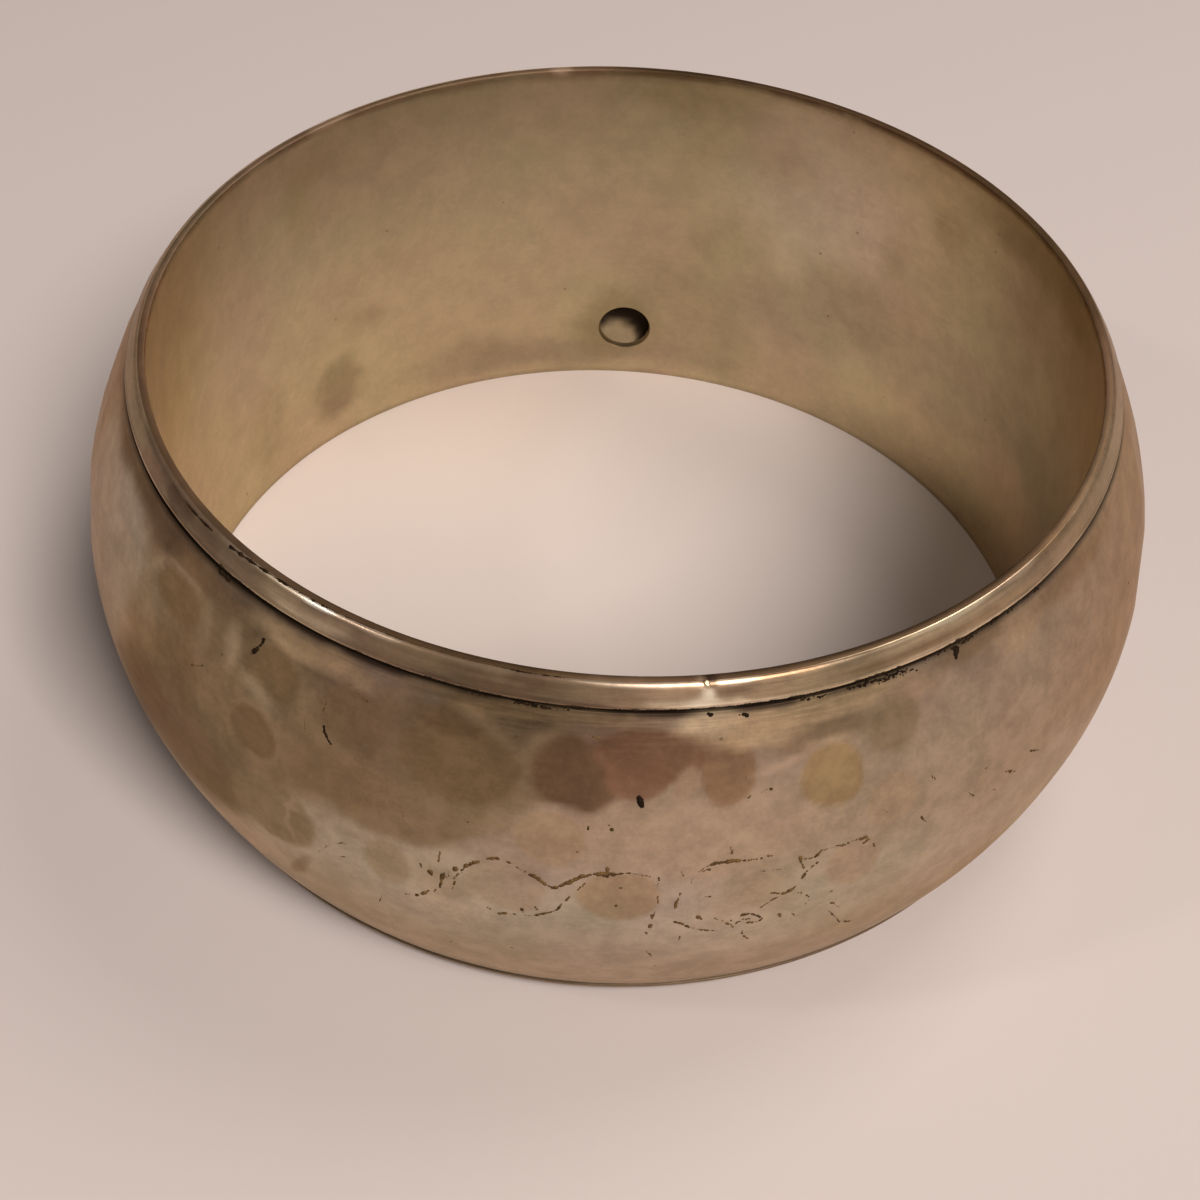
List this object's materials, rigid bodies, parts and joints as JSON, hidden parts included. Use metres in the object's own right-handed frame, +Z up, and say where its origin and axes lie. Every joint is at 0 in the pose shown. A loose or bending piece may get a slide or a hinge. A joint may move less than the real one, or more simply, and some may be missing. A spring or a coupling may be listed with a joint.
{
  "type": "bangle",
  "caption": "Wide rigid hollow bangle: a hammered, bulging outer band held between narrow rims on a plain cylindrical liner, with a small round vent inside.",
  "frame": {"origin": "on the bangle's axis, level with the rim that it rests on", "axes": "+Z up along the axis that the wrist goes through; -Y the front, where the hammer marks read most clearly; +Y the side with the vent hole in the liner"},
  "size_m": [0.0742, 0.0741, 0.0302],
  "materials": {
    "liner_metal": "matt, tarnished olive and tan, rims rubbed brighter",
    "shell_metal": "hammered, satin, tarnished brown and rose in patches"
  },
  "bodies": {
    "root": {"rimmed_liner": "liner_metal", "domed_shell": "shell_metal"}
  },
  "joints": []
}
